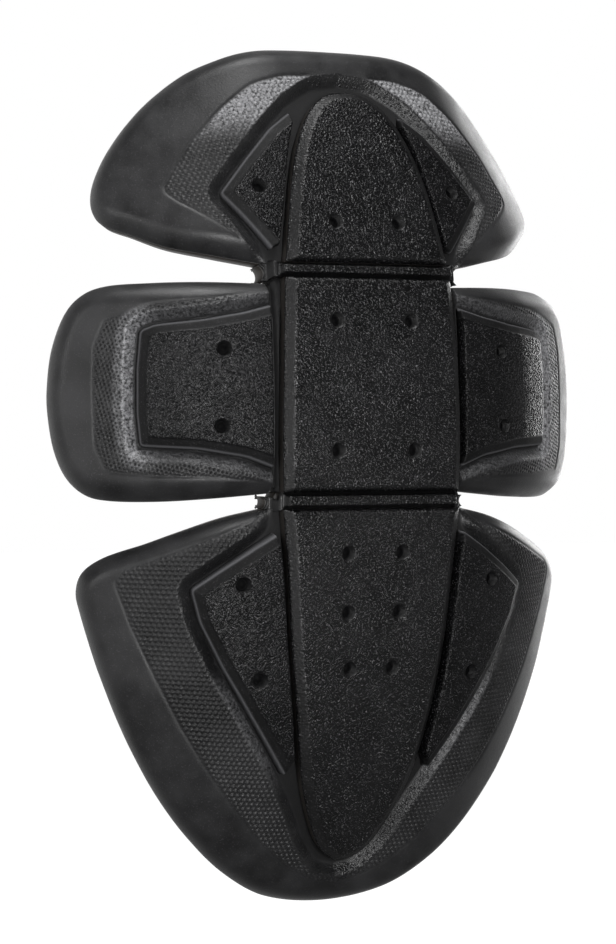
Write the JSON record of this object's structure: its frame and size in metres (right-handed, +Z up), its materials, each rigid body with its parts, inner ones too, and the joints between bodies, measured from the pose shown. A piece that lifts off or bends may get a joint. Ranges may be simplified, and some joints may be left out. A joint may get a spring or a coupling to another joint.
{
  "type": "knee guard",
  "caption": "Flexible foam knee armour insert: a raised lengthwise spine on a dished middle, side wings, a rounded upper lobe and a long tapering lower lobe, folding at moulded hinges.",
  "frame": {"origin": "centre of the flat land on the inner face of the middle section, the face that lies on the kneecap", "axes": "+Z up the leg towards the upper lobe, +Y towards the knee, out of the inner face, +X to the wearer's left, which is the right-hand side as the outer face is looked at"},
  "size_m": [0.1732, 0.046, 0.2487],
  "materials": {
    "pad_skin": "smooth matte moulded foam skin",
    "grain_panel": "fine pebbled moulded grain",
    "hinge_web": "matte moulded foam skin"
  },
  "bodies": {
    "middle": {"middle_pad": "pad_skin", "spine_middle": "grain_panel", "hinge_upper": "hinge_web", "hinge_lower": "hinge_web", "hinge_wing_left": "hinge_web", "hinge_wing_right": "hinge_web"},
    "upper": {"upper_pad": "pad_skin", "spine_upper": "grain_panel", "panel_upper_left": "grain_panel", "panel_upper_right": "grain_panel"},
    "lower": {"lower_pad": "pad_skin", "spine_lower": "grain_panel", "panel_lower_left": "grain_panel", "panel_lower_right": "grain_panel"},
    "left_wing": {"wing_left": "pad_skin", "panel_wing_left": "grain_panel"},
    "right_wing": {"wing_right": "pad_skin", "panel_wing_right": "grain_panel"}
  },
  "joints": [
    {"name": "upper_fold", "type": "hinge", "parent": "middle", "child": "upper", "pos_m": [0, -0.00179, 0.03176], "axis": [1, 0, 0], "range_deg": [-20, 12], "stiffness_Nm_per_rad": 1, "deforming": ["hinge_upper"]},
    {"name": "lower_fold", "type": "hinge", "parent": "middle", "child": "lower", "pos_m": [0, -0.00237, -0.03255], "axis": [1, 0, 0], "range_deg": [-12, 20], "stiffness_Nm_per_rad": 1, "deforming": ["hinge_lower"]},
    {"name": "wing_left_fold", "type": "hinge", "parent": "middle", "child": "left_wing", "pos_m": [-0.02974, -0.00285, 0], "axis": [0, 0, -1], "range_deg": [-10, 20], "stiffness_Nm_per_rad": 0.5, "deforming": ["hinge_wing_left"]},
    {"name": "wing_right_fold", "type": "hinge", "parent": "middle", "child": "right_wing", "pos_m": [0.02974, -0.00285, 0], "axis": [0, 0, 1], "range_deg": [-10, 20], "stiffness_Nm_per_rad": 0.5, "deforming": ["hinge_wing_right"]}
  ]
}
